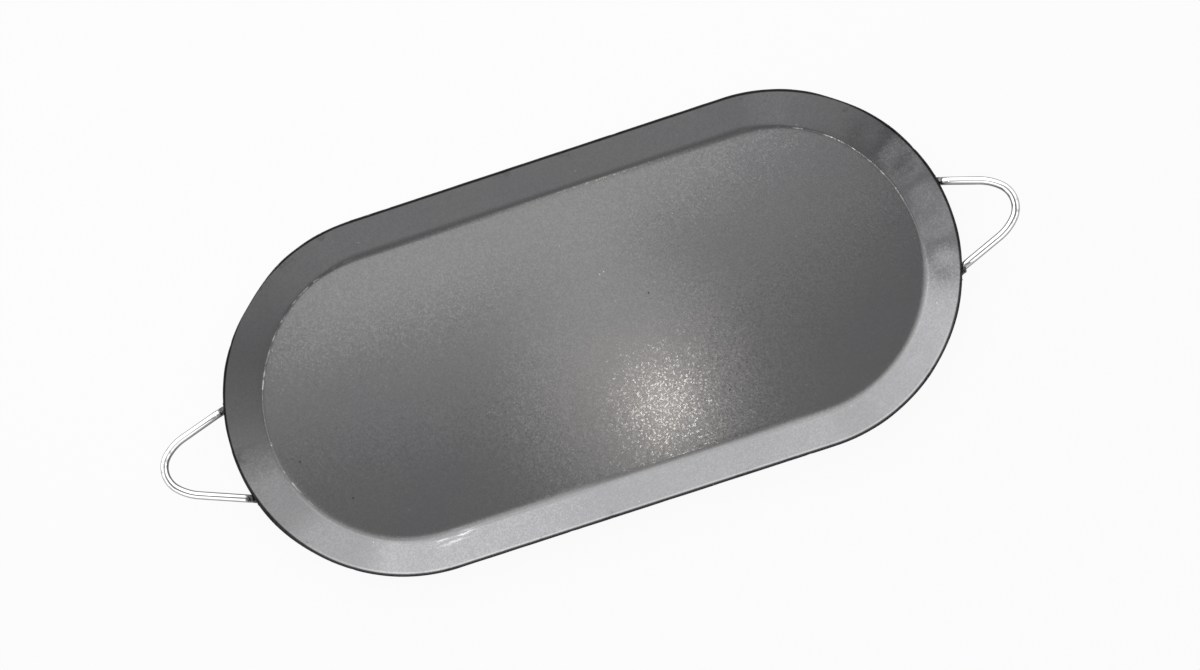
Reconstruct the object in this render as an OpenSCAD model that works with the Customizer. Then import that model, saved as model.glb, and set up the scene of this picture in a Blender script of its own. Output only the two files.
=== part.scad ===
// Oval sheet-steel griddle plate: a shallow pressed pan with a sloped wall and a plain cut rim,
// and a loop of bright round wire welded under the rim at each end.
// Millimetres, +Z up. X runs along the pan, and the origin is the middle of the flat underside.

/* [Pan] */
// Length of the pan over its rim, without the handles
pan_length = 584; // [480:1:680]
// Width of the pan over its rim
pan_width = 281; // [230:1:330]
// Height of the pan from its underside to the top of the rim
pan_height = 22; // [17:0.5:30]
// Thickness of the sheet
sheet = 1.5; // [1.2:0.1:2.5]
// Run of the sloped wall in plan, from the crease in the floor to the rim
wall_run = 27; // [22:0.5:36]
// Inside radius of the bend between the floor and the wall
bend_radius = 8; // [3:0.5:14]

/* [Handle loops] */
// Diameter of the handle wire
wire_d = 6.35; // [5:0.05:8]
// Radius of the wire's centre line round the outer end of a loop
crown_radius = 19; // [15:0.5:26]
// Turn of the outer end to each side of its middle, in degrees
crown_turn = 45; // [35:1:55]
// Radius of the wire's centre line at the shoulders of a loop
shoulder_radius = 40; // [30:0.5:55]
// Angle by which each leg of a loop spreads towards the pan
leg_splay = 19.6; // [14:0.2:26]
// Angle by which a loop rises away from the pan
loop_rise = 12; // [5:1:20]
// Reach of the left loop's centre line past the rim
left_reach = 52; // [46:0.5:70]
// Reach of the right loop's centre line past the rim
right_reach = 46.5; // [42:0.5:65]
// Place of the left loop's outer end across the pan
left_shift = -2; // [-8:0.5:8]
// Place of the right loop's outer end across the pan
right_shift = -4; // [-8:0.5:8]
// Turn of the left loop in plan, in degrees
left_skew = 2; // [-4:0.5:4]
// Turn of the right loop in plan, in degrees
right_skew = 1.5; // [-4:0.5:4]

/* [Leg ends] */
// Distance outside the rim, in plan, at which a leg turns down to the wall's slope
corner_out = 6; // [5:0.5:9]
// Radius of the wire's centre line at that bend
tip_bend_radius = 12; // [8:0.5:18]
// Length of wire that lies under the wall, from the rim inwards
tip_length = 18; // [14:0.5:23]
// Depth in plan below the rim at which the wire seats on the wall
seat_depth = 8; // [5:0.5:12]
// Room between the seated wire and the wall
seat_gap = 0.05; // [0.03:0.01:0.15]

/* [Welds] */
// Diameter of a weld bead's larger drops
bead_d = 5.4; // [4.6:0.1:6.4]
// Diameter of the smaller drops between them
small_bead_d = 5.1; // [4.4:0.1:6.2]
// How far a drop bites into the sheet
bead_bite = 0.9; // [0.5:0.05:1.1]
// How far a drop's middle stands off the side of the wire
bead_standoff = 0.3; // [0.1:0.05:0.6]
// Distance between the drops of a bead
bead_pitch = 2.8; // [2:0.1:3.2]
// Number of drops in a bead
bead_drops = 5; // [3:1:6]
// How far the first drop of an outer bead stands out past the rim
outer_bead_start = 1; // [0:0.25:1.5]
// How far inside the rim an inner bead starts
inner_bead_start = 2; // [0:0.5:4]

/* [Hidden] */
$fn = 96;

steel_colour = "dimgray";
plated_colour = "silver";
weld_colour = "slategray";

// Ends of the pan, sides of its long axis, and sides of a leg
LEFT = -1;
RIGHT = 1;
FRONT = -1;
BACK = 1;
OUTER = 1;
INNER = -1;

// Pan: two half rounds about these end centres, with a straight stretch between them
end_radius = pan_width / 2;
half_straight = (pan_length - pan_width) / 2;

// Wall: its slope, the height of the rim's lower corner, and the centre of the bend at its foot
wall_angle = atan2(pan_height - sheet, wall_run);
rim_low = pan_height - sheet * cos(wall_angle);
rim_inset = sheet * sin(wall_angle);
bend_centre = [
    end_radius - rim_inset - wall_run - bend_radius * tan(wall_angle / 2),
    sheet + bend_radius
];
bend_steps = 12;

// Wire: bends are a hair thicker than the straights, and each straight laps a little into its bends
wire_r = wire_d / 2;
bend_swell = 0.01;
lap = 0.2;

// Loop in its own plane, [outwards, across] from the middle of its outer end
crown_end = crown_radius * [cos(crown_turn) - 1, sin(crown_turn)];
shoulder_centre = crown_end - shoulder_radius * [cos(crown_turn), sin(crown_turn)];
shoulder_end = shoulder_centre + shoulder_radius * [sin(leg_splay), cos(leg_splay)];
shoulder_turn = 90 - leg_splay - crown_turn;

// A leg runs this far in plan, and drops this far, for each millimetre of its wire
leg_run = norm([cos(leg_splay) * cos(loop_rise), sin(leg_splay)]);
leg_drop = cos(leg_splay) * sin(loop_rise);
leg_slope = atan2(leg_drop, leg_run);

// Middle of a weld drop, above the wall and to the side of the wire's centre line
drop_height = bead_d / 2 - bead_bite;
drop_offset = wire_r + bead_standoff;

function unit(v) = v / norm(v);
function lift(v, z) = [v.x, v.y, z];

// Plan of a loop: its heading out of the pan, the middle of its outer end, and its two axes
function heading(end) = end == RIGHT ? right_skew : 180 - left_skew;
function reach(end) = end == RIGHT ? right_reach : left_reach;
function shift(end) = end == RIGHT ? right_shift : left_shift;
function crown_place(end) = [end * (pan_length / 2 + reach(end)), shift(end)];
function outwards(end) = [cos(heading(end)), sin(heading(end))];
function across(end) = [-sin(heading(end)), cos(heading(end))];

// Plan of one leg: where its shoulder ends, and the way it runs in towards the pan
function leg_start(end, side) = crown_place(end)
    + outwards(end) * shoulder_end.x * cos(loop_rise)
    + across(end) * end * side * shoulder_end.y;
function leg_way(end, side) = unit(
    across(end) * end * side * sin(leg_splay) - outwards(end) * cos(leg_splay) * cos(loop_rise));
function leg_place(end, side, run) = leg_start(end, side) + leg_way(end, side) * run;

// Run along a leg at which it passes under the rim, and at which it seats on the wall
function from_end_centre(end, side, run) = leg_place(end, side, run) - [end * half_straight, 0];
function closing(end, side) = from_end_centre(end, side, 0) * leg_way(end, side);
function clear_of_rim(end, side) = pow(norm(from_end_centre(end, side, 0)), 2) - pow(end_radius, 2);
function rim_run(end, side) =
    -closing(end, side) - sqrt(pow(closing(end, side), 2) - clear_of_rim(end, side));
function seat_run(end, side) = rim_run(end, side) + seat_depth;

// Way straight out of the wall at the seat, in plan
function wall_way(end, side) = unit(from_end_centre(end, side, seat_run(end, side)));

// Slope of the wire along the wall, and the height of its centre line at the seat
function tip_slope(end, side) = atan(tan(wall_angle) * -(leg_way(end, side) * wall_way(end, side)));
function seat_height(end, side) = rim_low
    - (end_radius - norm(from_end_centre(end, side, seat_run(end, side)))) * tan(wall_angle)
    - (wire_r + seat_gap) / cos(wall_angle);
function tip_height(end, side, run) =
    seat_height(end, side) - (run - seat_run(end, side)) * tan(tip_slope(end, side));

// Height of a loop's outer end, from the heights of its two legs at their corners outside the rim
function wanted_corner(end, side) = rim_run(end, side) - corner_out;
function crown_height_for(end, side) = tip_height(end, side, wanted_corner(end, side))
    + wanted_corner(end, side) * tan(leg_slope) - shoulder_end.x * sin(loop_rise);
function crown_height(end) = (crown_height_for(end, FRONT) + crown_height_for(end, BACK)) / 2;

// Run along a leg to the corner between its straight and its end on the wall
function start_height(end) = crown_height(end) + shoulder_end.x * sin(loop_rise);
function corner_run(end, side) = (tip_height(end, side, 0) - start_height(end))
    / (tan(tip_slope(end, side)) - tan(leg_slope));
function corner(end, side) =
    lift(leg_place(end, side, corner_run(end, side)), tip_height(end, side, corner_run(end, side)));

// Ways along a leg's straight and along its end, and its set-back from the corner at the bend
function sloping(way, slope) = lift(way * cos(slope), -sin(slope));
function leg_line(end, side) = sloping(leg_way(end, side), leg_slope);
function tip_line(end, side) = sloping(leg_way(end, side), tip_slope(end, side));
function tip_turn(end, side) = tip_slope(end, side) - leg_slope;
function set_back(end, side) = tip_bend_radius * tan(tip_turn(end, side) / 2);
function tip_from_corner(end, side) =
    tip_length + (rim_run(end, side) - corner_run(end, side)) / cos(tip_slope(end, side));

// One straight of wire from point a to point b
module wire_straight(a, b) {
    way = b - a;
    translate(a)
        rotate([0, acos(way.z / norm(way)), atan2(way.y, way.x)])
            cylinder(r = wire_r, h = norm(way));
}

// One bend of wire in the XY plane, from angle a1 to a2 about the origin
module wire_bend(radius, a1, a2, swells) {
    rotate(a1)
        rotate_extrude(angle = a2 - a1)
            translate([radius, 0])
                circle(r = wire_r + swells * bend_swell);
}

// Half of the pan's section, [out from the middle, up]: its underside, then its inside
function bend_arc(radius, a1, a2) = [
    for (i = [0 : bend_steps])
        let (a = a1 + (a2 - a1) * i / bend_steps)
            bend_centre + radius * [sin(a), -cos(a)]
];
under_line = concat(bend_arc(bend_radius + sheet, 0, wall_angle), [[end_radius, rim_low]]);
inside_line = concat([[end_radius - rim_inset, pan_height]], bend_arc(bend_radius, wall_angle, 0));
half_section = concat([[0, 0]], under_line, inside_line, [[0, sheet]]);
function other_side(line) = [for (i = [len(line) - 1 : -1 : 0]) [-line[i].x, line[i].y]];
full_section = concat(under_line, inside_line, other_side(inside_line), other_side(under_line));

module pan_end(end) {
    translate([end * half_straight, 0, 0])
        rotate(-90 * end)
            rotate_extrude(angle = 180)
                polygon(half_section);
}

module pan_middle() {
    translate([-half_straight, 0, 0])
        rotate([90, 0, 90])
            linear_extrude(2 * half_straight)
                polygon(full_section);
}

module pan_sheet() {
    pan_end(LEFT);
    pan_end(RIGHT);
    pan_middle();
}

// The loop's outer end and shoulders, all in one plane
module crown(end) {
    lap_turn = lap / shoulder_radius * 180 / PI;
    translate(lift(crown_place(end), crown_height(end)))
        rotate([0, -loop_rise, heading(end)]) {
            translate([-crown_radius, 0, 0])
                wire_bend(crown_radius, -crown_turn, crown_turn, 2);
            for (m = [0, 1])
                mirror([0, m, 0])
                    translate(lift(shoulder_centre, 0))
                        wire_bend(shoulder_radius, crown_turn - lap_turn, crown_turn + shoulder_turn, 1);
        }
}

// One leg: its straight, the bend at the rim, and its end along the wall
module leg(end, side) {
    way = leg_line(end, side);
    down = tip_line(end, side);
    foot = corner(end, side);
    back = set_back(end, side);
    wire_straight(
        lift(leg_start(end, side), start_height(end)) - way * lap,
        foot - way * (back - lap));
    wire_straight(foot + down * (back - lap), foot + down * tip_from_corner(end, side));
    // The bend lies in the upright plane of the leg, about a centre below the wire
    above = sloping(leg_way(end, side), leg_slope - 90);
    turn_axis = cross(above, way);
    middle = foot - way * back - above * tip_bend_radius;
    multmatrix([
        [above.x, way.x, turn_axis.x, middle.x],
        [above.y, way.y, turn_axis.y, middle.y],
        [above.z, way.z, turn_axis.z, middle.z],
        [0, 0, 0, 1]
    ])
        wire_bend(tip_bend_radius, 0, tip_turn(end, side), 1);
}

module handle_wire(end) {
    crown(end);
    leg(end, FRONT);
    leg(end, BACK);
}

// Middle of one weld drop, beside the wire and close to the wall
function drop_place(end, side, face, run) =
    let (out = lift(wall_way(end, side) * sin(wall_angle), -cos(wall_angle)),
         sideways = unit(cross(out, tip_line(end, side))) * face * end * side,
         on_wire = lift(leg_place(end, side, run), tip_height(end, side, run)))
    on_wire + sideways * drop_offset - out * (wire_r + seat_gap - drop_height);

// A bead is a row of larger and smaller drops in turn, fitted to the wall and to the wire
module weld_bead(end, side, face) {
    start = rim_run(end, side) + (face == OUTER ? -outer_bead_start : inner_bead_start);
    difference() {
        for (i = [0 : bead_drops - 1])
            translate(drop_place(end, side, face, start + i * bead_pitch))
                sphere(d = i % 2 == 0 ? bead_d : small_bead_d);
        pan_end(end);
        leg(end, side);
    }
}

module pan() { color(steel_colour) pan_sheet(); }
module left_handle() { color(plated_colour) handle_wire(LEFT); }
module right_handle() { color(plated_colour) handle_wire(RIGHT); }
module weld(end, side, face) { color(weld_colour) weld_bead(end, side, face); }

pan();
left_handle();
right_handle();
weld(LEFT, FRONT, OUTER);  // weld_left_front_outer
weld(LEFT, FRONT, INNER);  // weld_left_front_inner
weld(LEFT, BACK, OUTER);  // weld_left_back_outer
weld(LEFT, BACK, INNER);  // weld_left_back_inner
weld(RIGHT, FRONT, OUTER);  // weld_right_front_outer
weld(RIGHT, FRONT, INNER);  // weld_right_front_inner
weld(RIGHT, BACK, OUTER);  // weld_right_back_outer
weld(RIGHT, BACK, INNER);  // weld_right_back_inner
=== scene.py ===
# Oval sheet-steel griddle plate with two welded wire loops: its looks, its light and its camera.
# Metres, +Z up, in the part's own frame: X along the pan, the origin on the flat underside.
import math
import random

import bmesh
import bpy
from mathutils import Matrix, Vector, noise


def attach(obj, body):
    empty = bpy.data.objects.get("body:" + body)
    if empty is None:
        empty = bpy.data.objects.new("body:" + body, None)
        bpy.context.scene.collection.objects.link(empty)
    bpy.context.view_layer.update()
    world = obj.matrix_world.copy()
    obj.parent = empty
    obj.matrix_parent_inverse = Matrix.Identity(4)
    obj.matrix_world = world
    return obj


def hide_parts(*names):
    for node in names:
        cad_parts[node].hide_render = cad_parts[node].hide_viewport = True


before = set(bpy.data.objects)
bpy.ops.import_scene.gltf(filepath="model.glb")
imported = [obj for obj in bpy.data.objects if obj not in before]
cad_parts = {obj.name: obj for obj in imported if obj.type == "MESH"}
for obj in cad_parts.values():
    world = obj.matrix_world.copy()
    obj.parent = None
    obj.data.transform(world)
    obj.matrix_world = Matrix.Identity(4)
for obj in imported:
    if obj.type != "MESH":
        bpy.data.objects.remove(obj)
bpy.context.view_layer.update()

MM = 0.001
LEFT, RIGHT = -1, 1
FRONT, BACK = -1, 1
OUTER, INNER = 1, -1

# Pan
PAN_LENGTH = 584 * MM
PAN_WIDTH = 281 * MM
PAN_HEIGHT = 22 * MM
SHEET = 1.5 * MM
WALL_RUN = 27 * MM
SIDE_BEND = 12 * MM
END_BEND = 5 * MM
RIM_SOFTENING = 0.22 * MM
RIM_EDGE_ANGLE = math.radians(50)
END_RADIUS = PAN_WIDTH / 2
HALF_STRAIGHT = (PAN_LENGTH - PAN_WIDTH) / 2
WALL_ANGLE = math.atan2(PAN_HEIGHT - SHEET, WALL_RUN)
RIM_LOW = PAN_HEIGHT - SHEET * math.cos(WALL_ANGLE)
RIM_OUT = END_RADIUS - SHEET * math.sin(WALL_ANGLE)
CREASE_OUT = RIM_OUT - WALL_RUN
CREASE_OUT_AT_BACK = 1.5 * MM
CREASE_IN_AT_RIGHT = 0.8 * MM
CREASE_OUT_AT_FRONT = 1 * MM

# Handle loops
WIRE_R = 6.35 * MM / 2
CROWN_RADIUS = 19 * MM
CROWN_TURN = math.radians(45)
SHOULDER_RADIUS = 40 * MM
LEG_SPLAY = math.radians(19.6)
LOOP_RISE = math.radians(12)
REACH = {LEFT: 52 * MM, RIGHT: 46.5 * MM}
SHIFT = {LEFT: -2 * MM, RIGHT: -4 * MM}
HEADING = {LEFT: math.radians(180 - 2), RIGHT: math.radians(1.5)}

# Leg ends
CORNER_OUT = 6 * MM
TIP_BEND_RADIUS = 12 * MM
TIP_LENGTH = 18 * MM
SEAT_DEPTH = 8 * MM
SEAT_GAP = 0.05 * MM

# Weld beads
BEAD_D = 5.4 * MM
BEAD_BITE = 0.9 * MM
BEAD_STANDOFF = 0.3 * MM
BEAD_LENGTH = 11.2 * MM
BEAD_MIDDLE = BEAD_D / 2 - BEAD_BITE
OUTER_BEAD_START = {
    (LEFT, FRONT): 1.8 * MM,
    (LEFT, BACK): 1.8 * MM,
    (RIGHT, FRONT): -1 * MM,
    (RIGHT, BACK): 1.8 * MM,
}
INNER_BEAD_START = 2 * MM
WELD_MIDDLE_IN = 5 * MM


# Shading: sums are written as Python expressions, and every other node comes from one method
class Shade:
    """A socket's value in a finish. Python's operators on it add Math nodes."""

    def __init__(self, finish, socket):
        self.finish = finish
        self.socket = socket

    def math(self, operation, *terms):
        return self.finish.node("Math", {"operation": operation}, dict(enumerate(terms)))

    def __add__(self, other):
        return self.math("ADD", self, other)

    def __radd__(self, other):
        return self.math("ADD", other, self)

    def __sub__(self, other):
        return self.math("SUBTRACT", self, other)

    def __rsub__(self, other):
        return self.math("SUBTRACT", other, self)

    def __mul__(self, other):
        return self.math("MULTIPLY", self, other)

    def __rmul__(self, other):
        return self.math("MULTIPLY", other, self)

    def __truediv__(self, other):
        return self.math("DIVIDE", self, other)

    def __rtruediv__(self, other):
        return self.math("DIVIDE", other, self)

    def __abs__(self):
        return self.math("ABSOLUTE", self)

    def at_least(self, other):
        return self.math("MAXIMUM", self, other)

    def at_most(self, other):
        return self.math("MINIMUM", self, other)

    def root(self):
        return self.math("SQRT", self)

    def rising(self, low, high):
        """Rise smoothly from 0 to 1 while the value goes from low to high."""
        ends = {"Value": self, "From Min": low, "From Max": high}
        return self.finish.node("MapRange", {"interpolation_type": "SMOOTHSTEP"}, ends)

    def falling(self, low, high):
        return 1 - self.rising(low, high)

    def sway(self, size):
        """A cloud's swing of this size about its middle."""
        return size * (self - 0.5)


class Finish:
    """A node tree, filled one node at a time. The functions that fill one call it f."""

    def __init__(self, tree):
        self.tree = tree
        tree.nodes.clear()

    def node(self, kind, settings=None, sockets=None, out=0):
        made = self.tree.nodes.new("ShaderNode" + kind)
        for name, value in (settings or {}).items():
            if name == "stops":
                set_stops(made.color_ramp.elements, value)
            else:
                setattr(made, name, value)
        for key, value in (sockets or {}).items():
            if isinstance(value, Shade):
                self.tree.links.new(value.socket, made.inputs[key])
            else:
                made.inputs[key].default_value = value
        if made.outputs:
            return Shade(self, made.outputs[out])
        return None

    def object_place(self):
        return self.node("TexCoord", out="Object")

    def split(self, vector):
        made = self.node("SeparateXYZ", None, {0: vector})
        return [Shade(self, socket) for socket in made.socket.node.outputs]

    def join(self, x, y, z):
        return self.node("CombineXYZ", None, {0: x, 1: y, 2: z})

    def cloud(self, place, scale, detail=2.0, rough=0.5):
        """Soft random tone from 0 to 1, with its middle near 0.5."""
        sockets = {"Vector": place, "Scale": scale, "Detail": detail, "Roughness": rough}
        return self.node("TexNoise", None, sockets)

    def ramp(self, stops, share):
        return self.node("ValToRGB", {"stops": stops}, {0: share})

    def blend(self, share, first, second):
        """Colour that goes from the first to the second as the share goes from 0 to 1."""
        settings = {"data_type": "RGBA", "clamp_factor": True}
        return self.node("Mix", settings, {0: share, 6: first, 7: second}, out=2)

    def toned(self, colour, tone):
        """A colour made lighter or darker by a tone near 1."""
        settings = {"data_type": "RGBA", "blend_type": "MULTIPLY"}
        return self.node("Mix", settings, {0: 1.0, 6: colour, 7: self.join(tone, tone, tone)}, out=2)

    def far_from(self, place, spot):
        """Distance from a fixed spot."""
        settings = {"operation": "DISTANCE"}
        return self.node("VectorMath", settings, {0: place, 1: spot}, out="Value")

    def bump(self, height, strength, distance):
        sockets = {"Height": height, "Strength": strength, "Distance": distance}
        return self.node("Bump", None, sockets)

    def surface(self, **sockets):
        named = {key.replace("_", " "): value for key, value in sockets.items()}
        shader = self.node("BsdfPrincipled", None, named)
        self.node("OutputMaterial", None, {"Surface": shader})


def set_stops(elements, stops):
    while len(elements) < len(stops):
        elements.new(0.5)
    for element, (place, colour) in zip(elements, stops):
        element.position = place
        element.color = colour


def grey(level, warm=0.0):
    """A grey of this level, a little warmer or cooler."""
    return (level * (1 + warm), level, level * (1 - warm), 1)


def new_material(name):
    material = bpy.data.materials.new(name)
    material.use_nodes = True
    return material, Finish(material.node_tree)


# Places of the handle legs, worked out as they are for the solid parts
def crown_place(end):
    return Vector((end * (PAN_LENGTH / 2 + REACH[end]), SHIFT[end]))


def outwards(end):
    return Vector((math.cos(HEADING[end]), math.sin(HEADING[end])))


def across(end):
    return Vector((-math.sin(HEADING[end]), math.cos(HEADING[end])))


CROWN_END = CROWN_RADIUS * Vector((math.cos(CROWN_TURN) - 1, math.sin(CROWN_TURN)))
SHOULDER_MIDDLE = CROWN_END - SHOULDER_RADIUS * Vector((math.cos(CROWN_TURN), math.sin(CROWN_TURN)))
SHOULDER_END = SHOULDER_MIDDLE + SHOULDER_RADIUS * Vector((math.sin(LEG_SPLAY), math.cos(LEG_SPLAY)))
SHOULDER_TURN = math.pi / 2 - LEG_SPLAY - CROWN_TURN
LEG_RUN = math.hypot(math.cos(LEG_SPLAY) * math.cos(LOOP_RISE), math.sin(LEG_SPLAY))
LEG_SLOPE = math.atan2(math.cos(LEG_SPLAY) * math.sin(LOOP_RISE), LEG_RUN)


def sloping(way, slope):
    level = way * math.cos(slope)
    return Vector((level.x, level.y, -math.sin(slope)))


class Leg:
    """One leg of a loop: its line in plan, its seat on the wall, and its corner outside the rim."""

    def __init__(self, end, side):
        self.end = end
        self.side = side
        self.start = (crown_place(end) + outwards(end) * SHOULDER_END.x * math.cos(LOOP_RISE)
                      + across(end) * end * side * SHOULDER_END.y)
        way = (across(end) * end * side * math.sin(LEG_SPLAY)
               - outwards(end) * math.cos(LEG_SPLAY) * math.cos(LOOP_RISE))
        self.way = way.normalized()
        middle = Vector((end * HALF_STRAIGHT, 0))
        closing = (self.start - middle).dot(self.way)
        clear = (self.start - middle).length_squared - END_RADIUS ** 2
        self.rim_run = -closing - math.sqrt(closing ** 2 - clear)
        self.seat_run = self.rim_run + SEAT_DEPTH
        from_middle = self.start + self.way * self.seat_run - middle
        self.wall_way = from_middle.normalized()
        self.tip_slope = math.atan(math.tan(WALL_ANGLE) * -self.way.dot(self.wall_way))
        self.seat_height = (RIM_LOW - (END_RADIUS - from_middle.length) * math.tan(WALL_ANGLE)
                            - (WIRE_R + SEAT_GAP) / math.cos(WALL_ANGLE))

    def tip_height(self, run):
        return self.seat_height - (run - self.seat_run) * math.tan(self.tip_slope)

    def crown_height(self):
        wanted = self.rim_run - CORNER_OUT
        return (self.tip_height(wanted) + wanted * math.tan(LEG_SLOPE)
                - SHOULDER_END.x * math.sin(LOOP_RISE))

    def settle(self, crown_height):
        """Set the corner between the leg's straight and its end on the wall."""
        start_height = crown_height + SHOULDER_END.x * math.sin(LOOP_RISE)
        corner_run = ((self.tip_height(0) - start_height)
                      / (math.tan(self.tip_slope) - math.tan(LEG_SLOPE)))
        self.corner = self.on_wire(corner_run)
        self.line = sloping(self.way, LEG_SLOPE)
        self.tip_line = sloping(self.way, self.tip_slope)
        self.turn = self.tip_slope - LEG_SLOPE
        self.set_back = TIP_BEND_RADIUS * math.tan(self.turn / 2)
        self.tip_from_corner = TIP_LENGTH + (self.rim_run - corner_run) / math.cos(self.tip_slope)
        above = sloping(self.way, LEG_SLOPE - math.pi / 2)
        self.bend_middle = self.corner - self.line * self.set_back - above * TIP_BEND_RADIUS
        self.shoulder = Vector((self.start.x, self.start.y, start_height))
        self.tip = self.corner + self.tip_line * self.tip_from_corner

    def on_wire(self, run):
        plan = self.start + self.way * run
        return Vector((plan.x, plan.y, self.tip_height(run)))

    def wall_out(self):
        level = self.wall_way * math.sin(WALL_ANGLE)
        return Vector((level.x, level.y, -math.cos(WALL_ANGLE)))

    def beside(self, face):
        sideways = self.wall_out().cross(self.tip_line).normalized()
        return sideways * face * self.end * self.side


LEGS = {(end, side): Leg(end, side) for end in (LEFT, RIGHT) for side in (FRONT, BACK)}
CROWN_HEIGHT = {
    end: (LEGS[end, FRONT].crown_height() + LEGS[end, BACK].crown_height()) / 2
    for end in (LEFT, RIGHT)
}
for leg in LEGS.values():
    leg.settle(CROWN_HEIGHT[leg.end])
WELD_SPOTS = [leg.on_wire(leg.rim_run + WELD_MIDDLE_IN) for leg in LEGS.values()]


# Pan: one grid of sheet, bent to the oval, with the dents and waves of a hand-fed press
ARC_STEPS = 300
SIDE_STEPS = 150
WALL_SHARES = (0, 0.02, 0.06, 0.13, 0.24, 0.37, 0.5, 0.63, 0.76, 0.88)
BEND_STEPS = 8
FLOOR_SHARES = (0.02, 0.06, 0.12, 0.2, 0.3, 0.4, 0.5, 0.6, 0.7, 0.8, 0.9, 1)
MERGE_GAP = 0.001 * MM

# Where the wide bend of the sides turns into the tight one: into the end, and towards the back
TIGHT_BEND_IN_END = (0, 50 * MM)
TIGHT_BEND_AT_BACK = (-40 * MM, 10 * MM)

# Dents and nicks of the rim, in millimetres: place in plan, depth inwards, half width
RIM_DENTS = (
    ((-243, 105), 1.7, 20),
    ((236, 111), 1.0, 14),
    ((-279, -62), -0.8, 24),
)
RIM_NICKS = (
    ((-268, 78), 0.35, 1.6),
    ((-120, 140), 0.25, 1.4),
    ((64, 140), 0.3, 1.8),
    ((279, 58), 0.4, 1.5),
    ((-60, -140), 0.25, 1.6),
    ((131, -140), 0.3, 1.4),
    ((-230, -116), 0.35, 1.5),
)
NICK_FADE = 12

# Unevenness of the rim, the end walls and the floor
RIM_FLAT_LENGTH = 17 * MM
RIM_FLAT_DEPTH = 0.25 * MM
LEFT_BACK_FLAT_DEPTH = 0.55 * MM
RIM_FLAT_LAYER = 7 * MM
WALL_WAVE_LENGTH = 26 * MM
WALL_WAVE_HEIGHT = {LEFT: 0.32 * MM, RIGHT: 0.75 * MM}
WALL_WAVE_START = 45 * MM
WALL_WAVE_FULLNESS = 0.7
FLOOR_WAVE_LENGTH = 120 * MM
FLOOR_WAVE_HEIGHT = 0.3 * MM
FLOOR_WAVE_LAYER = 40 * MM


def outline_stations():
    """Stations round the pan, each the point it is measured from and its way straight out."""
    stations = []
    for end in (RIGHT, LEFT):
        for i in range(ARC_STEPS):
            turn = math.pi * (i / ARC_STEPS - end / 2)
            stations.append((Vector((end * HALF_STRAIGHT, 0)), Vector((math.cos(turn), math.sin(turn)))))
        for i in range(SIDE_STEPS):
            slide = end * HALF_STRAIGHT * (1 - 2 * i / SIDE_STEPS)
            stations.append((Vector((slide, 0)), Vector((0, end))))
    return stations + stations[:1]


def smooth_share(value, low, high):
    """Rise smoothly from 0 to 1 while the value goes from low to high."""
    share = min(1, max(0, (value - low) / (high - low)))
    return share * share * (3 - 2 * share)


def bend_at(middle, way):
    """Bend radius at the foot of the wall: tight at the back of the ends, wide everywhere else."""
    foot = middle + way * CREASE_OUT
    tight = smooth_share(abs(foot.x) - HALF_STRAIGHT, *TIGHT_BEND_IN_END)
    tight *= smooth_share(foot.y, *TIGHT_BEND_AT_BACK)
    return SIDE_BEND + (END_BEND - SIDE_BEND) * tight


def crease_wander(middle, way):
    """How far the crease strays outwards round the pan, as it does in the photo."""
    out_at_back = CREASE_OUT_AT_BACK * smooth_share(way.y, 0.5, 0.9)
    in_at_right = CREASE_IN_AT_RIGHT * smooth_share(way.x, 0, 0.6) * smooth_share(way.y, -0.1, 0.2)
    front_right = smooth_share(middle.x, -30 * MM, 120 * MM)
    front_left = smooth_share(-way.x, 0.1, 0.5)
    out_at_front = CREASE_OUT_AT_FRONT * max(front_right, front_left) * smooth_share(-way.y, -0.1, 0.4)
    return out_at_back + out_at_front - in_at_right


def inside_section(bend, crease):
    """Inside of the sheet as [out, up], with 0 at the rim, 1 in the bend and 2 in the pan's middle."""
    slope = math.atan2(PAN_HEIGHT - SHEET, RIM_OUT - crease)
    set_back = bend * math.tan(slope / 2)
    rim = Vector((RIM_OUT, PAN_HEIGHT))
    foot = Vector((crease + set_back * math.cos(slope), SHEET + set_back * math.sin(slope)))
    middle = Vector((crease - set_back, SHEET + bend))
    section = [(rim.lerp(foot, share), share) for share in WALL_SHARES]
    for i in range(BEND_STEPS + 1):
        turn = slope * (1 - i / BEND_STEPS)
        section.append((middle + bend * Vector((math.sin(turn), -math.cos(turn))), 1))
    section += [(Vector((middle.x * (1 - share), SHEET)), 1 + share) for share in FLOOR_SHARES]
    return section


def dent_depth(spot, dents):
    depth = 0
    for place, deep, wide in dents:
        gap = (spot - Vector(place) * MM).length / (wide * MM)
        depth += deep * MM * math.exp(-gap * gap / 2)
    return depth


def unevenness(spot, length, layer):
    """Random height from -1 to 1 at a place in plan: waves of this length, in a layer of their own."""
    return noise.noise(Vector((spot.x, spot.y, layer)) / length)


def rim_wander(spot):
    """Short flats that hand shearing leaves in the rim, deepest at the left end's back."""
    at_left_back = spot.x < -HALF_STRAIGHT and spot.y > 0
    depth = LEFT_BACK_FLAT_DEPTH if at_left_back else RIM_FLAT_DEPTH
    return depth * (0.5 + 0.5 * unevenness(spot, RIM_FLAT_LENGTH, RIM_FLAT_LAYER))


def wall_wave(spot):
    """Shallow radial waves that pressing leaves in the end walls, larger on the right."""
    into_end = min(1, max(0, (abs(spot.x) - HALF_STRAIGHT) / WALL_WAVE_START))
    height = WALL_WAVE_HEIGHT[RIGHT if spot.x > 0 else LEFT]
    return height * into_end * unevenness(spot, WALL_WAVE_LENGTH, 0)


def floor_wave(spot):
    """Low, wide waves of the floor, never below the flat underside."""
    return FLOOR_WAVE_HEIGHT * (0.5 + 0.5 * unevenness(spot, FLOOR_WAVE_LENGTH, FLOOR_WAVE_LAYER))


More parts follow.
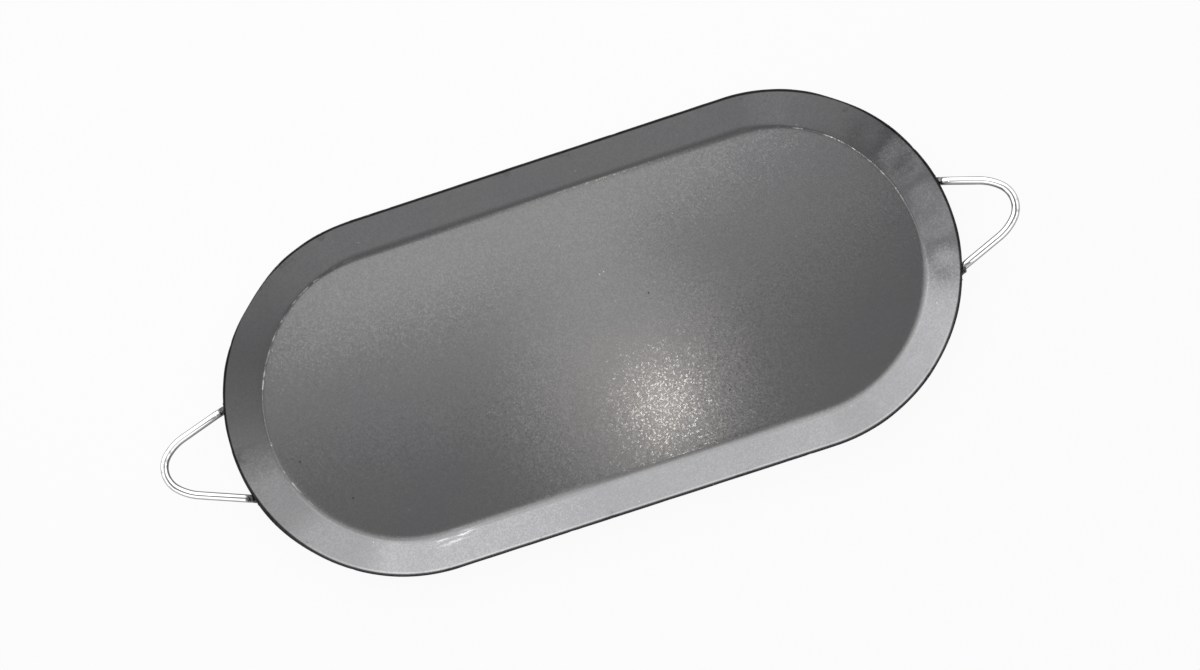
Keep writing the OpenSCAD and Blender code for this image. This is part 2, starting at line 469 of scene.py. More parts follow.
def bend_sheet():
    stations = outline_stations()
    sections = [inside_section(bend_at(middle, way), CREASE_OUT + crease_wander(middle, way))
                for middle, way in stations]
    rings = len(sections[0])
    sheet = bmesh.new()
    bmesh.ops.create_grid(sheet, x_segments=len(stations) - 1, y_segments=rings - 1, size=1)
    for vert in sheet.verts:
        station = round((vert.co.x + 1) / 2 * (len(stations) - 1))
        ring = round((vert.co.y + 1) / 2 * (rings - 1))
        middle, way = stations[station]
        (out, up), share = sections[station][ring]
        rim_spot = middle + way * END_RADIUS
        on_wall = max(0, 1 - share)
        out -= (dent_depth(rim_spot, RIM_DENTS) + rim_wander(rim_spot)) * on_wall
        out -= dent_depth(rim_spot, RIM_NICKS) * on_wall ** NICK_FADE
        wave = wall_wave(rim_spot) * math.sin(math.pi * min(1, share)) ** WALL_WAVE_FULLNESS
        out -= wave * math.sin(WALL_ANGLE)
        up += wave * math.cos(WALL_ANGLE)
        plan = middle + way * out
        up += floor_wave(plan) * min(1, max(0, share - 1) * 2)
        vert.co = (plan.x, plan.y, up)
    bmesh.ops.remove_doubles(sheet, verts=sheet.verts, dist=MERGE_GAP)
    bmesh.ops.recalc_face_normals(sheet, faces=sheet.faces)
    if sum(face.normal.z for face in sheet.faces) < 0:
        bmesh.ops.reverse_faces(sheet, faces=sheet.faces)
    return sheet


def give_gauge(pan):
    """Give the bent sheet its thickness downwards, and soften the edges of its rim."""
    gauge = pan.modifiers.new("Gauge", "SOLIDIFY")
    gauge.thickness = SHEET
    gauge.offset = -1
    gauge.use_even_offset = True
    gauge.use_quality_normals = True
    gauge.material_offset = 1
    gauge.material_offset_rim = 2
    softened = pan.modifiers.new("Softened rim", "BEVEL")
    softened.width = RIM_SOFTENING
    softened.segments = 2
    softened.limit_method = "ANGLE"
    softened.angle_limit = RIM_EDGE_ANGLE
    softened.harden_normals = True


# Handle wire: a round section swept through straights and bends from one leg's tip to the other's
WIRE_SIDES = 64
WIRE_STEP = 0.7 * MM
TIP_ROUND = 0.5 * MM


def loop_point(end, out, side):
    """A point of the loop's own plane, in the part's frame."""
    plane = Matrix.Rotation(HEADING[end], 4, "Z") @ Matrix.Rotation(-LOOP_RISE, 4, "Y")
    place = crown_place(end)
    return Vector((place.x, place.y, CROWN_HEIGHT[end])) + plane @ Vector((out, side, 0))


class WireSweep:
    """The wire as it is being bent: where its open end stands, and which way it points."""

    def __init__(self, spot, way):
        self.shape = bmesh.new()
        self.spot = spot
        self.way = way.normalized()
        self.section = self.draw_section()

    def draw_section(self):
        turned = Matrix.Translation(self.spot) @ self.way.to_track_quat("Z", "Y").to_matrix().to_4x4()
        bmesh.ops.create_circle(self.shape, segments=WIRE_SIDES, radius=WIRE_R, matrix=turned)
        return list(self.shape.edges)

    def grow(self, steps, **how):
        grown = bmesh.ops.spin(self.shape, geom=self.section, steps=steps, **how)
        self.section = [part for part in grown["geom_last"] if isinstance(part, bmesh.types.BMEdge)]

    def straight_to(self, spot):
        length = (spot - self.spot).dot(self.way)
        steps = max(1, round(length / WIRE_STEP))
        self.grow(steps, cent=self.spot, axis=(0, 0, 1), dvec=self.way * length / steps, angle=0)
        self.spot = self.spot + self.way * length

    def bend(self, middle, turn):
        arm = self.spot - middle
        axis = arm.cross(self.way).normalized()
        steps = max(4, round(arm.length * turn / WIRE_STEP))
        self.grow(steps, cent=middle, axis=axis, angle=turn)
        turned = Matrix.Rotation(turn, 3, axis)
        self.spot = middle + turned @ arm
        self.way = turned @ self.way

    def closed(self):
        rims = [edge for edge in self.shape.edges if edge.is_boundary]
        bmesh.ops.holes_fill(self.shape, edges=rims, sides=0)
        bmesh.ops.bevel(self.shape, geom=rims, offset=TIP_ROUND, affect="EDGES", segments=3,
                        profile=0.5, material=-1)
        bmesh.ops.recalc_face_normals(self.shape, faces=self.shape.faces)
        return self.shape


def bend_loop(end):
    """Bend the wire from the front leg's tip round the crown to the back leg's tip."""
    first, last = LEGS[end, FRONT], LEGS[end, BACK]
    first_side = -end
    wire = WireSweep(first.tip, -first.tip_line)
    wire.straight_to(first.corner + first.tip_line * first.set_back)
    wire.bend(first.bend_middle, first.turn)
    wire.straight_to(first.shoulder)
    wire.bend(loop_point(end, SHOULDER_MIDDLE.x, first_side * SHOULDER_MIDDLE.y), SHOULDER_TURN)
    wire.bend(loop_point(end, -CROWN_RADIUS, 0), 2 * CROWN_TURN)
    wire.bend(loop_point(end, SHOULDER_MIDDLE.x, -first_side * SHOULDER_MIDDLE.y), SHOULDER_TURN)
    wire.straight_to(last.corner - last.line * last.set_back)
    wire.bend(last.bend_middle, last.turn)
    wire.straight_to(last.tip)
    return wire.closed()


# Weld beads: overlapping tilted drops, with a little spatter beside them
BEAD_DROPS = 9
DROP_STRAY = 0.3 * MM
SMALLEST_DROP = 0.82
DROP_TILT = math.radians(-35)
DROP_THICKNESS = 0.55
DROP_HEIGHT = 0.95
SPATTER_DROPS = 4
SPATTER_ALONG = (0.1, 1.0)
SPATTER_AWAY = (3.2 * MM, 7.5 * MM)
SPATTER_SIZE = (0.25 * MM, 0.5 * MM)


def lay_bead(leg, face):
    """Lay one bead along a leg's tip, on the wire's outer or inner side."""
    dice = random.Random(f"{leg.end} {leg.side} {face}")
    out, beside = leg.wall_out(), leg.beside(face)
    start = leg.rim_run + (OUTER_BEAD_START[leg.end, leg.side] if face == OUTER else INNER_BEAD_START)
    lying = Matrix((beside, leg.tip_line, out)).transposed().to_4x4()
    bead = bmesh.new()
    for i in range(BEAD_DROPS):
        run = start + BEAD_LENGTH * i / (BEAD_DROPS - 1)
        aside = WIRE_R + BEAD_STANDOFF + dice.uniform(-DROP_STRAY, DROP_STRAY)
        place = leg.on_wire(run) + beside * aside - out * (WIRE_R + SEAT_GAP - BEAD_MIDDLE)
        size = BEAD_D / 2 * dice.uniform(SMALLEST_DROP, 1.0)
        drop = Matrix.Translation(place) @ lying @ Matrix.Rotation(DROP_TILT, 4, "X")
        drop = drop @ Matrix.Diagonal((size, size * DROP_THICKNESS, size * DROP_HEIGHT, 1))
        bmesh.ops.create_icosphere(bead, subdivisions=3, radius=1, matrix=drop)
    for i in range(SPATTER_DROPS):
        run = start + BEAD_LENGTH * dice.uniform(*SPATTER_ALONG)
        place = leg.on_wire(run) + beside * (WIRE_R + dice.uniform(*SPATTER_AWAY))
        place -= out * (WIRE_R + SEAT_GAP)
        size = dice.uniform(*SPATTER_SIZE)
        bmesh.ops.create_icosphere(bead, subdivisions=2, radius=size, matrix=Matrix.Translation(place))
    return bead


def make_piece(name, shape, materials, nodes):
    """Turn a finished bmesh into a piece that rides on the part's one body."""
    mesh = bpy.data.meshes.new(name)
    shape.to_mesh(mesh)
    shape.free()
    mesh.shade_smooth()
    for material in materials:
        mesh.materials.append(material)
    piece = bpy.data.objects.new(name, mesh)
    bpy.context.scene.collection.objects.link(piece)
    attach(piece, "root")
    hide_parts(*nodes)
    return piece


# Steel of the pan
def rolled_streaks(f, x, y, z):
    """Streaks that rolling leaves along the sheet."""
    return f.cloud(f.join(x * 35, y * 1100, z * 1100), 1, 2)


def rolled_hairs(f, x, y, z):
    """Hair-fine streaks between the wider ones."""
    return f.cloud(f.join(x * 260, y * 2600, z * 2600), 1, 1)


GRAIN_SIZE = 1.1 * MM
GRAIN_TILT = 0.05


def steel_grains(f, place):
    """Flat grains, each tilted its own way: their normal, and a random tone of each one."""
    sockets = {"Vector": place, "Scale": 1 / GRAIN_SIZE}
    colour = f.node("TexVoronoi", {"voronoi_dimensions": "2D"}, sockets, out="Color")
    first, second, third = f.split(colour)
    reach = GRAIN_TILT * (0.25 + third)
    tilt = f.join((first - 0.5) * reach, (second - 0.5) * reach, 0)
    level = f.node("NewGeometry", out="Normal")
    leaning = f.node("VectorMath", {"operation": "ADD"}, {0: level, 1: tilt})
    return f.node("VectorMath", {"operation": "NORMALIZE"}, {0: leaning}), third


# Marks inside the pan: where each lies, and between which distances it fades
END_START = (0, 40 * MM)
FOLD_OUT = CREASE_OUT + 2 * MM
FOLD_FADE = (0.8 * MM, 3.5 * MM)
FOLD_TO_BACK = (-20 * MM, 60 * MM)
FRONT_SHADE_OUT = CREASE_OUT - 2.4 * MM
FRONT_SHADE_FADE = (0.5 * MM, 3.8 * MM)
FRONT_SHADE_X = 35 * MM
FRONT_SHADE_X_FADE = (45 * MM, 95 * MM)
FRONT_SHADE_TO_FRONT = (-60 * MM, 0)
RUB_OUT = CREASE_OUT - 0.5 * MM
RUB_WANDER = 0.7 * MM
RUB_FADE = (0.2 * MM, 0.65 * MM)
RUB_TO_BACK = (-30 * MM, 10 * MM)
END_CREASE_SHADE_FADE = (0.8 * MM, 2 * MM)
RIGHT_CREASE_START = (HALF_STRAIGHT, HALF_STRAIGHT + 60 * MM)
SPECKS_PER_METRE = 34.0
SPECK_FADE_IN_CELLS = (0.006, 0.017)
BRIGHT_SPECKS = ((20, 42), (23.5, 43))
BRIGHT_SPECK_FADE = (0.3 * MM, 0.8 * MM)
DARK_DOTS = ((51.5, 16.5), (88, -74), (-246.5, -24), (-215.5, -63.5))
DARK_DOT_FADE = (0.4 * MM, 0.85 * MM)
SCUFF_SPOT = Vector((-149, -117, 4)) * MM
SCUFF_SQUEEZE = 0.28
SCUFF_FADE = (2 * MM, 8 * MM)
SMUDGE_BAND = (RIM_OUT - 13 * MM, RIM_OUT - 2 * MM)
RIM_DARK_BAND = (RIM_OUT - 1.8 * MM, RIM_OUT - 0.9 * MM)
BURR_OUT = RIM_OUT - 2.3 * MM
BURR_FADE = (0.2 * MM, 0.7 * MM)
BURR_TO_FRONT = (-120 * MM, -60 * MM)

# How far each mark takes the steel to its own tone, to bright metal or to black
FOLD_SHADE = 0.2
FRONT_CREASE_SHADE = 0.34
END_CREASE_SHADE = 0.15
SCRATCH_AND_HIGHLIGHT_BRIGHT = 0.9
SPECK_BRIGHT = 0.7
SCUFF_BRIGHT = 0.5
BURR_HIGHLIGHT = 0.2
DOT_DARK = 0.9
SMUDGE_DARK = 0.3
RIM_BAND_DARK = 0.95
BARE_ROUGHNESS = 0.235


def back_fold_shade(y, out, drift, in_end):
    """Painted shade in the fold along the back of the pan, thinner round the ends."""
    fold = abs(out - FOLD_OUT).falling(*FOLD_FADE) * (0.7 + drift.sway(0.6)) * (1 - 0.65 * in_end)
    return fold * y.rising(*FOLD_TO_BACK)


def front_crease_shade(x, y, out):
    """Painted shade just inside the front crease, beside the brightest part of the floor."""
    along = abs(x - FRONT_SHADE_X).falling(*FRONT_SHADE_X_FADE) * y.falling(*FRONT_SHADE_TO_FRONT)
    return abs(out - FRONT_SHADE_OUT).falling(*FRONT_SHADE_FADE) * along


def end_crease_highlight_and_shade(f, place, x, y, out, in_end):
    """Bright broken line on the tight end bend, part scratches and part painted highlight, with painted
    shade in the crease between its dashes.
    """
    long_dashes = f.cloud(place, 75, 2, 0.5).rising(0.46, 0.54)
    short_dashes = f.cloud(place, 420, 2, 0.6).rising(0.36, 0.5)
    dashes = long_dashes * short_dashes * (y - 0.15 * x).rising(*RUB_TO_BACK)
    wander = f.cloud(place, 90, 2).sway(RUB_WANDER)
    out_at_back = CREASE_OUT_AT_BACK * (y / out).rising(0.5, 0.9)
    in_at_right = CREASE_IN_AT_RIGHT * x.rising(*RIGHT_CREASE_START)
    gap = abs(out - RUB_OUT - out_at_back + in_at_right + wander)
    # Painted highlight with scratches in the dashes, painted shade in the crease between them
    scratch_and_highlight = gap.falling(*RUB_FADE) * in_end * dashes
    crease_shade = gap.falling(*END_CREASE_SHADE_FADE) * in_end * (1 - dashes)
    return scratch_and_highlight, crease_shade


def on_floor(spot):
    """A place on the pan's floor, from its plan in millimetres."""
    return (spot[0] * MM, spot[1] * MM, SHEET)


def bright_specks(f, place):
    """Small bright specks all over, and two larger ones near the middle."""
    cell = {"voronoi_dimensions": "2D"}
    sockets = {"Vector": place, "Scale": SPECKS_PER_METRE}
    gap = f.node("TexVoronoi", cell, sockets, out="Distance")
    pick, _, _ = f.split(f.node("TexVoronoi", cell, sockets, out="Color"))
    specks = gap.falling(*SPECK_FADE_IN_CELLS) * pick.rising(0.45, 0.95)
    for spot in BRIGHT_SPECKS:
        specks = specks + f.far_from(place, on_floor(spot)).falling(*BRIGHT_SPECK_FADE)
    return specks


def dark_dots(f, place):
    """A few dark dots on the floor."""
    dots = 0
    for spot in DARK_DOTS:
        dots = f.far_from(place, on_floor(spot)).falling(*DARK_DOT_FADE) + dots
    return dots


def wall_scuff(f, x, y, z):
    """Lengthwise scratches low on the front wall."""
    squeezed = f.join(x * SCUFF_SQUEEZE, y, z)
    middle = (SCUFF_SPOT.x * SCUFF_SQUEEZE, SCUFF_SPOT.y, SCUFF_SPOT.z)
    scratches = f.cloud(f.join(x * 60, y * 420, z * 420), 1, 3).rising(0.5, 0.62)
    return f.far_from(squeezed, middle).falling(*SCUFF_FADE) * scratches


def rim_smudges(f, place, out):
    """Dark smudges close under the rim."""
    return out.rising(*SMUDGE_BAND) * f.cloud(place, 60, 4, 0.7).rising(0.56, 0.72)


def inside_steel():
    """Bare grained steel of the cooking side, with scratches, painted shade in its creases, painted
    highlights on its end bends and front burr, and a dark band under the rim.
    """
    material, f = new_material("griddle_steel_inside")
    place = f.object_place()
    x, y, z = f.split(place)
    past = (abs(x) - HALF_STRAIGHT).at_least(0)
    out = (past * past + y * y).root()
    in_end = past.rising(*END_START)
    streaks = rolled_streaks(f, x, y, z)
    normal, grain = steel_grains(f, place)
    drift = f.cloud(place, 9, 3, 0.55)
    smear = f.cloud(f.join(x * 14, y * 30, z * 30), 1, 4, 0.6)

    # Painted shade along the back fold
    fold = back_fold_shade(y, out, drift, in_end)
    scratch_and_highlight, crease_shade = end_crease_highlight_and_shade(f, place, x, y, out, in_end)
    tone = 1 + drift.sway(0.06) + smear.sway(0.05) + streaks.sway(0.06) + grain.sway(0.11)
    # Painted shade in the front crease and, on the next line, along the end creases
    tone = tone * (1 - FOLD_SHADE * fold) * (1 - FRONT_CREASE_SHADE * front_crease_shade(x, y, out))
    tone = tone * (1 - END_CREASE_SHADE * crease_shade)
    steel = f.blend(drift.rising(0.35, 0.65), grey(0.30, -0.014), grey(0.305, 0.004))

    # Painted highlight on a burr just under the front rim
    burr = abs(out - BURR_OUT).falling(*BURR_FADE) * y.falling(*BURR_TO_FRONT)
    # A darker band on the inside face just under the rim
    rim_dark_band = out.rising(*RIM_DARK_BAND)
    bright = scratch_and_highlight * SCRATCH_AND_HIGHLIGHT_BRIGHT + bright_specks(f, place) * SPECK_BRIGHT
    bright = (bright + wall_scuff(f, x, y, z) * SCUFF_BRIGHT + burr * BURR_HIGHLIGHT).at_most(1)
    dark = dark_dots(f, place) * DOT_DARK + rim_smudges(f, place, out) * SMUDGE_DARK
    dark = (dark + rim_dark_band * RIM_BAND_DARK).at_most(1)
    colour = f.blend(dark, f.toned(steel, tone), grey(0.012, 0.05))
    colour = f.blend(bright, colour, grey(0.85, 0.01))

    polished = grain.rising(0.5, 0.53)
    rough = BARE_ROUGHNESS + drift.sway(0.02) + smear.sway(0.02)
    rough = rough + 0.06 * dark + 0.1 * fold - 0.07 * polished
    f.surface(Base_Color=colour, Metallic=0.7, Roughness=rough, Normal=normal)
    return material


# Heat colours round each weld, from straw through brown and blue to burnt grey
HEAT_FADE = (4 * MM, 20 * MM)
HEAT_COLOURS = (
    (0.0, (0.25, 0.245, 0.24, 1)),
    (0.25, (0.27, 0.22, 0.14, 1)),
    (0.45, (0.22, 0.13, 0.10, 1)),
    (0.62, (0.12, 0.12, 0.20, 1)),
    (0.85, (0.17, 0.17, 0.18, 1)),
    (1.0, (0.10, 0.09, 0.085, 1)),
)


def under_steel():
    """Duller steel of the outside and the underside, coloured by heat round the welds."""
    material, f = new_material("griddle_steel_underside")
    place = f.object_place()
    x, y, z = f.split(place)
    streaks = rolled_streaks(f, x, y, z)
    drift = f.cloud(place, 11, 3, 0.55)
    rub = f.cloud(f.join(x * 18, y * 60, z * 60), 1, 4, 0.65)
    tone = 0.88 + drift.sway(0.2) + streaks.sway(0.22) + rub.sway(0.2)
    steel = f.blend(drift.rising(0.35, 0.65), grey(0.235, -0.01), grey(0.25, 0.02))
    heat = 0
    for spot in WELD_SPOTS:
        heat = f.far_from(place, spot).falling(*HEAT_FADE) + heat
    hottest = heat.at_most(1)
    tint = f.ramp(HEAT_COLOURS, hottest + f.cloud(place, 120, 3).sway(0.25))
    colour = f.blend(heat.rising(0.02, 0.2), f.toned(steel, tone), tint)
    rough = 0.38 + drift.sway(0.1) + streaks.sway(0.12) + 0.12 * hottest
    normal = f.bump(streaks * 0.6 + rolled_hairs(f, x, y, z) * 0.4, 0.35, 0.06 * MM)
    f.surface(Base_Color=colour, Metallic=1.0, Roughness=rough, Normal=normal)
    return material


def cut_rim_steel():
    """Dark cut edge of the sheet, with a few places worn bright."""
    material, f = new_material("griddle_steel_cut_rim")
    place = f.object_place()
    burr = f.cloud(place, 300, 3, 0.7)
    worn = f.cloud(place, 60, 3, 0.65).rising(0.6, 0.72) * burr.rising(0.5, 0.6)
    colour = f.blend(burr.rising(0.3, 0.7), grey(0.012, 0.02), grey(0.025, 0.04))
    colour = f.blend(worn * 0.6, colour, grey(0.4))
    normal = f.bump(burr, 0.6, 0.15 * MM)
    f.surface(Base_Color=colour, Metallic=0.8, Roughness=0.42 + burr.sway(0.2), Normal=normal)
    return material


# Plating of the handles: how far it burnt out from the rim on each leg, and where it is tarnished
BURN_REACH = {
    (LEFT, FRONT): 10 * MM,
    (LEFT, BACK): 7.5 * MM,
    (RIGHT, FRONT): 4 * MM,
    (RIGHT, BACK): 7 * MM,
}
BURN_EDGE = 1.5 * MM
SCALE_COLOURS = (
    (0.40, (0.02, 0.02, 0.02, 1)),
    (0.55, (0.2, 0.2, 0.19, 1)),
    (0.7, (0.6, 0.6, 0.58, 1)),
)
TARNISH_IN_LOOP = (-4 * MM, -8 * MM)
TARNISH_FADE = (8 * MM, 22 * MM)


def burnt_plating(f, place):
    """Where welding burnt the plating."""
    heat = 0
    for where, leg in LEGS.items():
        reach = BURN_REACH[where]
        heat = f.far_from(place, leg.on_wire(leg.rim_run)).falling(reach - BURN_EDGE, reach) + heat
    return heat


def crown_tarnish(f, place):
    """Patches of tarnish beside the middle of each crown."""
    crowned = 0
    for end in (LEFT, RIGHT):
        crowned = f.far_from(place, loop_point(end, *TARNISH_IN_LOOP)).falling(*TARNISH_FADE) + crowned
    return crowned * f.cloud(place, 260, 3, 0.65).rising(0.5, 0.66)


def plated_wire():
    """Bright plating with painted shade on the wire's flanks, tarnished on the crowns and burnt beside
    the welds.
    """
    material, f = new_material("plated_wire")
    place = f.object_place()
    drift = f.cloud(place, 70, 3, 0.6)
    fine = f.cloud(place, 1400, 2, 0.6)
    mottle = f.cloud(place, 480, 2, 0.6)
    scratch = f.cloud(place, 420, 3, 0.7).rising(0.62, 0.75)
    _, _, facing_up = f.split(f.node("TexCoord", out="Normal"))
    # Painted shade: where the wire faces sideways it is darkened nearly to black
    flank_shade = facing_up.falling(0.5, 0.72)
    burnt = (burnt_plating(f, place) * (0.75 + 0.5 * drift)).at_most(1)
    plate = f.blend(drift.rising(0.35, 0.65), grey(0.87), grey(0.91, -0.004))
    plate = f.blend(flank_shade * 0.9, plate, grey(0.06, -0.01))
    plate = f.blend(crown_tarnish(f, place) * 0.6, plate, grey(0.3, -0.02))
    colour = f.blend(burnt, plate, f.ramp(SCALE_COLOURS, mottle))
    rough = 0.06 + 0.04 * drift + 0.06 * scratch + 0.35 * burnt
    normal = f.bump(drift * 0.5 + fine * 0.02 + scratch * 0.02 + mottle * burnt * 0.5, 0.2, 0.12 * MM)
    f.surface(Base_Color=colour, Metallic=1.0, Roughness=rough, Normal=normal)
    return material


WELD_COLOURS = (
    (0.28, (0.03, 0.023, 0.018, 1)),
    (0.48, (0.10, 0.085, 0.07, 1)),
    (0.6, (0.22, 0.21, 0.20, 1)),
    (0.78, (0.5, 0.49, 0.47, 1)),
)


def weld_metal():
    """Rough mottled weld metal, from nearly black to pale grey."""
    material, f = new_material("weld_metal")
    place = f.object_place()
    mottle = f.cloud(place, 420, 4, 0.65)
    patch = f.cloud(place, 180, 2, 0.5)
    colour = f.ramp(WELD_COLOURS, 0.55 * mottle + 0.45 * patch)
    rough = 0.3 + 0.35 * (1 - mottle)
    normal = f.bump(mottle, 0.6, 0.3 * MM)
    f.surface(Base_Color=colour, Metallic=0.9, Roughness=rough, Normal=normal)
    return material


# Build the pieces
pan = make_piece("pan_sheet", bend_sheet(), (inside_steel(), under_steel(), cut_rim_steel()),
                 ("pan",))
give_gauge(pan)

handles_and_welds = bpy.data.collections.new("handles_and_welds")
wire_finish = plated_wire()
for end, name in ((LEFT, "left_handle"), (RIGHT, "right_handle")):
    wire = make_piece(name + "_wire", bend_loop(end), (wire_finish,), (name,))
    handles_and_welds.objects.link(wire)

weld_finish = weld_metal()
for (end, side), leg in LEGS.items():
    for face, face_name in ((OUTER, "outer"), (INNER, "inner")):
        end_name = "left" if end == LEFT else "right"
        side_name = "front" if side == FRONT else "back"
        node = f"weld_{end_name}_{side_name}_{face_name}"
        bead = make_piece(node + "_bead", lay_bead(leg, face), (weld_finish,), (node,))
        handles_and_welds.objects.link(bead)

# Floor
FLOOR_RADIUS = 9.0
FLOOR_DROP = 0.1 * MM
FLOOR_WHITENESS = 0.94


def paper_floor():
    """Pale paper: white to the camera and in the metal, with the object's shadow kept faint."""
    material, f = new_material("paper_floor")
    seen = 0
    for ray in ("Is Camera Ray", "Is Glossy Ray", "Is Transmission Ray"):
        seen = f.node("LightPath", out=ray) + seen
    paper = f.node("BsdfDiffuse", None, {"Color": grey(0.9)})
    white = f.node("Emission", None, {"Color": grey(1.0), "Strength": 1.0})
    mixed = f.node("MixShader", None, {0: seen.at_most(1) * FLOOR_WHITENESS, 1: paper, 2: white})
    f.node("OutputMaterial", None, {"Surface": mixed})
    return material


floor_shape = bmesh.new()
bmesh.ops.create_circle(floor_shape, cap_ends=True, segments=96, radius=FLOOR_RADIUS)
floor_mesh = bpy.data.meshes.new("floor")
floor_shape.to_mesh(floor_mesh)
floor_shape.free()
floor_mesh.materials.append(paper_floor())
floor = bpy.data.objects.new("floor", floor_mesh)
floor.location.z = -FLOOR_DROP
bpy.context.scene.collection.objects.link(floor)

# Camera: almost straight above, turned so that the pan climbs to the right
CAMERA_TURN = math.radians(18.09)
CAMERA_TILT = math.radians(-1.97)
CAMERA_LEAN = math.radians(-3.24)
CAMERA_AWAY = 2.5
CAMERA_SLIDE = Vector((6.2 * MM, -0.8 * MM, 0))
SENSOR_WIDTH = 36.0
FOCAL_LENGTH = 96.92

looking = (Matrix.Rotation(CAMERA_LEAN, 3, "Y") @ Matrix.Rotation(CAMERA_TILT, 3, "X")
           @ Matrix.Rotation(CAMERA_TURN, 3, "Z")).transposed()
camera_spot = looking @ (Vector((0, 0, CAMERA_AWAY)) + CAMERA_SLIDE)
lens = bpy.data.cameras.new("camera")
lens.sensor_width = SENSOR_WIDTH
lens.lens = FOCAL_LENGTH
camera = bpy.data.objects.new("camera", lens)
camera.matrix_world = Matrix.Translation(camera_spot) @ looking.to_4x4()
bpy.context.scene.collection.objects.link(camera)
bpy.context.scene.camera = camera

# Room: a dim ceiling, with brighter light low behind the pan and darker light low in front of it
CEILING_LEVEL = 0.2
LOW_CLIMB = math.radians(24)
CEILING_CLIMB = math.radians(62)
ROOM_COLOUR = (1.0, 0.99, 1.015, 1)
LOW_TOP = 2.2
# Level of the light low down, by its bearing from +X in degrees: none is over LOW_TOP
LOW_LEVELS = (
    (-180, 0.88), (-170, 0.2), (-160, 0.7), (-152, 0.1), (-146, 0.15), (-138, 0.35), (-120, 0.47),
    (-105, 0.6), (-94, 0.45), (-86, 0.52), (-75, 0.44), (-60, 0.41), (-35, 0.23), (-15, 0.27), (0, 0.37),
    (6, 0.44), (18, 1.04), (36, 0.93), (50, 1.52), (60, 1.4), (67, 1.54), (77, 2.17),
    (90, 1.66), (97, 1.5), (105, 1.58), (138, 1.84), (150, 1.86), (160, 1.2), (168, 0.2),
    (174, 0.82), (180, 0.88),
)


def light_room():
    room = bpy.data.worlds.new("room")
    room.use_nodes = True
    bpy.context.scene.world = room
    f = Finish(room.node_tree)
    seen_x, seen_y, seen_up = f.split(f.node("TexCoord", out="Generated"))
    bearing = f.node("Math", {"operation": "ARCTAN2"}, {0: seen_y, 1: seen_x}) / (2 * math.pi) + 0.5
    stops = [((degrees + 180) / 360, grey(level / LOW_TOP)) for degrees, level in LOW_LEVELS]
    low_level = LOW_TOP * f.ramp(stops, bearing)
    overhead = seen_up.rising(math.sin(LOW_CLIMB), math.sin(CEILING_CLIMB))
    level = low_level + (CEILING_LEVEL - low_level) * overhead
    backdrop = f.node("Background", None, {"Color": ROOM_COLOUR, "Strength": level})
    f.node("OutputWorld", None, {"Surface": backdrop})


# Lamps, none of them in the camera's own sight
def hang_lamp(name, light, place):
    lamp = bpy.data.objects.new(name, light)
    lamp.matrix_world = place
    lamp.visible_camera = False
    bpy.context.scene.collection.objects.link(lamp)
    return lamp


def flat_light(name, shape, size, power):
    light = bpy.data.lights.new(name, "AREA")
    light.shape = shape
    light.size, light.size_y = size
    light.energy = power
    return light


def lamp_over(name, shine, height, size, power, colour):
    """A lamp whose middle the camera would see mirrored at this spot, were the floor a wide mirror."""
    spot = Vector(shine) * MM
    away = (spot - camera_spot.to_2d()) * height / camera_spot.z
    light = flat_light(name, "ELLIPSE", size, power)
    light.color = colour
    hang_lamp(name, light, Matrix.Translation((spot.x + away.x, spot.y + away.y, height)))


def lamp_mirrored(name, shine, facing, away, radius, beam, power):
    """A round lamp that the camera sees mirrored at this spot of a wall facing this way."""
    spot = Vector(shine) * MM
    light = bpy.data.lights.new(name, "SPOT")
    light.shadow_soft_size = radius
    light.spot_size = beam
    light.spot_blend = 1.0
    light.energy = power
    mirrored = (spot - camera_spot).normalized().reflect(facing)
    turned = mirrored.to_track_quat("Z", "Y").to_matrix().to_4x4()
    hang_lamp(name, light, Matrix.Translation(spot + mirrored * away) @ turned)


FRONT_WALL_FACING = Vector((0, math.sin(WALL_ANGLE), math.cos(WALL_ANGLE)))
CEILING_COLOUR = (1.0, 0.985, 0.99)

light_room()
lamp_mirrored("back_lamp", shine=(-150, -126, 12), facing=FRONT_WALL_FACING, away=1.0, radius=0.13,
              beam=math.radians(34), power=0.36)
lamp_over("ceiling_lamp", shine=(-99, 299), height=0.6, size=(1.12, 0.61), power=0.95,
          colour=CEILING_COLOUR)
lamp_over("ceiling_glow", shine=(-99, 215), height=0.63, size=(1.33, 0.635), power=0.49,
          colour=CEILING_COLOUR)
lamp_over("warm_lamp", shine=(17, -44), height=0.57, size=(0.2, 0.26), power=0.063,
          colour=(1.0, 0.96, 0.92))
lamp_over("warm_glint", shine=(37, -71), height=0.5, size=(0.016, 0.05), power=0.027,
          colour=(1.0, 0.94, 0.87))

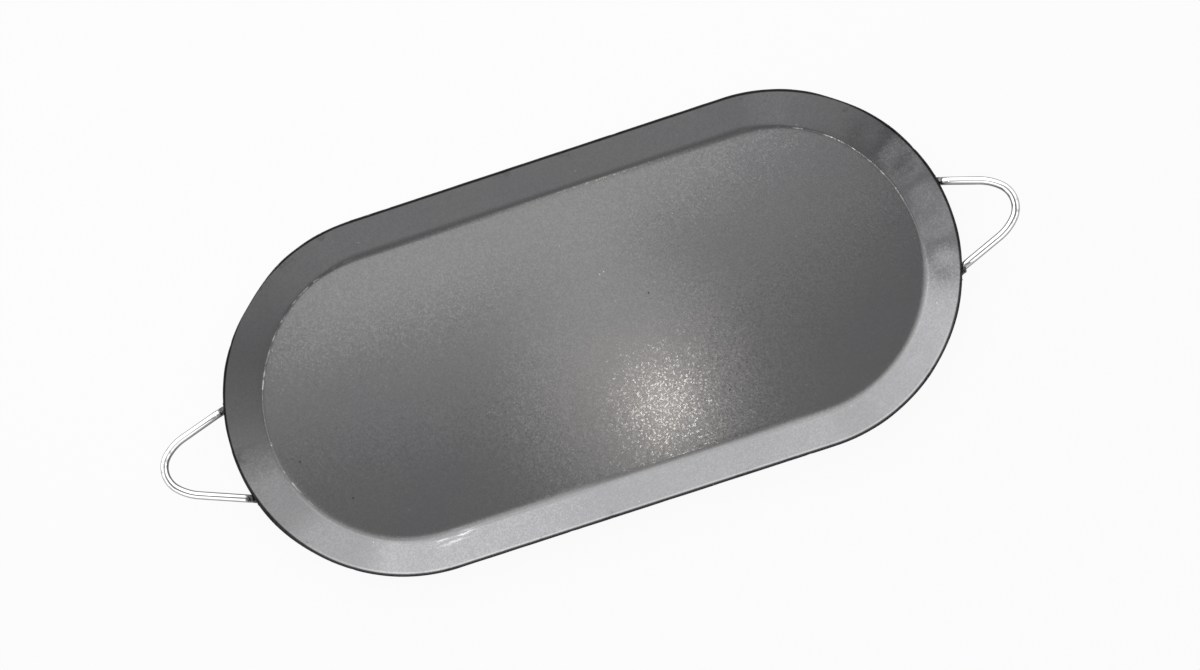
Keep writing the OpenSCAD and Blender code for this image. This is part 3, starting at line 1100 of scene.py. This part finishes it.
# Soft lamps round each loop, for handles and welds alone: the gap over the wire draws its dark line
HANDLE_LAMP_HEIGHT = 58 * MM
HANDLE_LAMP_GAP = 22 * MM
HANDLE_LAMP_WIDTH = 90 * MM
HANDLE_LAMP_LENGTH = 140 * MM
HANDLE_LAMP_OVER_PAN = 12 * MM
HANDLE_LAMP_LEVEL = 1.05
CROWN_LAMP_LENGTH = 60 * MM
LOOP_LAMP_INSET = 39 * MM
LOOP_LAMP_SIZE = (56 * MM, 40 * MM)
BESIDE_WIRE = (HANDLE_LAMP_GAP + HANDLE_LAMP_WIDTH) / 2
LENGTHWISE = Vector((1, 0))


def handle_lamp(name, shape, middle, along, size):
    """A flat lamp of the handle lamps' one level and height, turned to lie along this direction."""
    fill = math.pi / 4 if shape == "ELLIPSE" else 1
    light = flat_light(name, shape, size, HANDLE_LAMP_LEVEL * math.pi * fill * size[0] * size[1])
    place = Matrix.Translation((middle.x, middle.y, HANDLE_LAMP_HEIGHT))
    lamp = hang_lamp(name, light, place @ Matrix.Rotation(math.atan2(along.y, along.x), 4, "Z"))
    lamp.visible_diffuse = False
    lamp.light_linking.receiver_collection = handles_and_welds


for (end, side), leg in LEGS.items():
    along = leg.line.to_2d().normalized()
    away = Vector((-along.y, along.x))
    if away.y * side < 0:
        away = -away
    over_leg = leg.corner.to_2d() + along * (HANDLE_LAMP_OVER_PAN - HANDLE_LAMP_LENGTH / 2)
    middle = over_leg + away * BESIDE_WIRE
    handle_lamp("leg_lamp", "RECTANGLE", middle, along, (HANDLE_LAMP_LENGTH, HANDLE_LAMP_WIDTH))
for end in (LEFT, RIGHT):
    outer = loop_point(end, BESIDE_WIRE, 0)
    inner = loop_point(end, -LOOP_LAMP_INSET, 0)
    handle_lamp("crown_lamp", "RECTANGLE", outer, LENGTHWISE, (HANDLE_LAMP_WIDTH, CROWN_LAMP_LENGTH))
    handle_lamp("loop_lamp", "ELLIPSE", inner, LENGTHWISE, LOOP_LAMP_SIZE)

bpy.context.scene.view_settings.view_transform = "Standard"
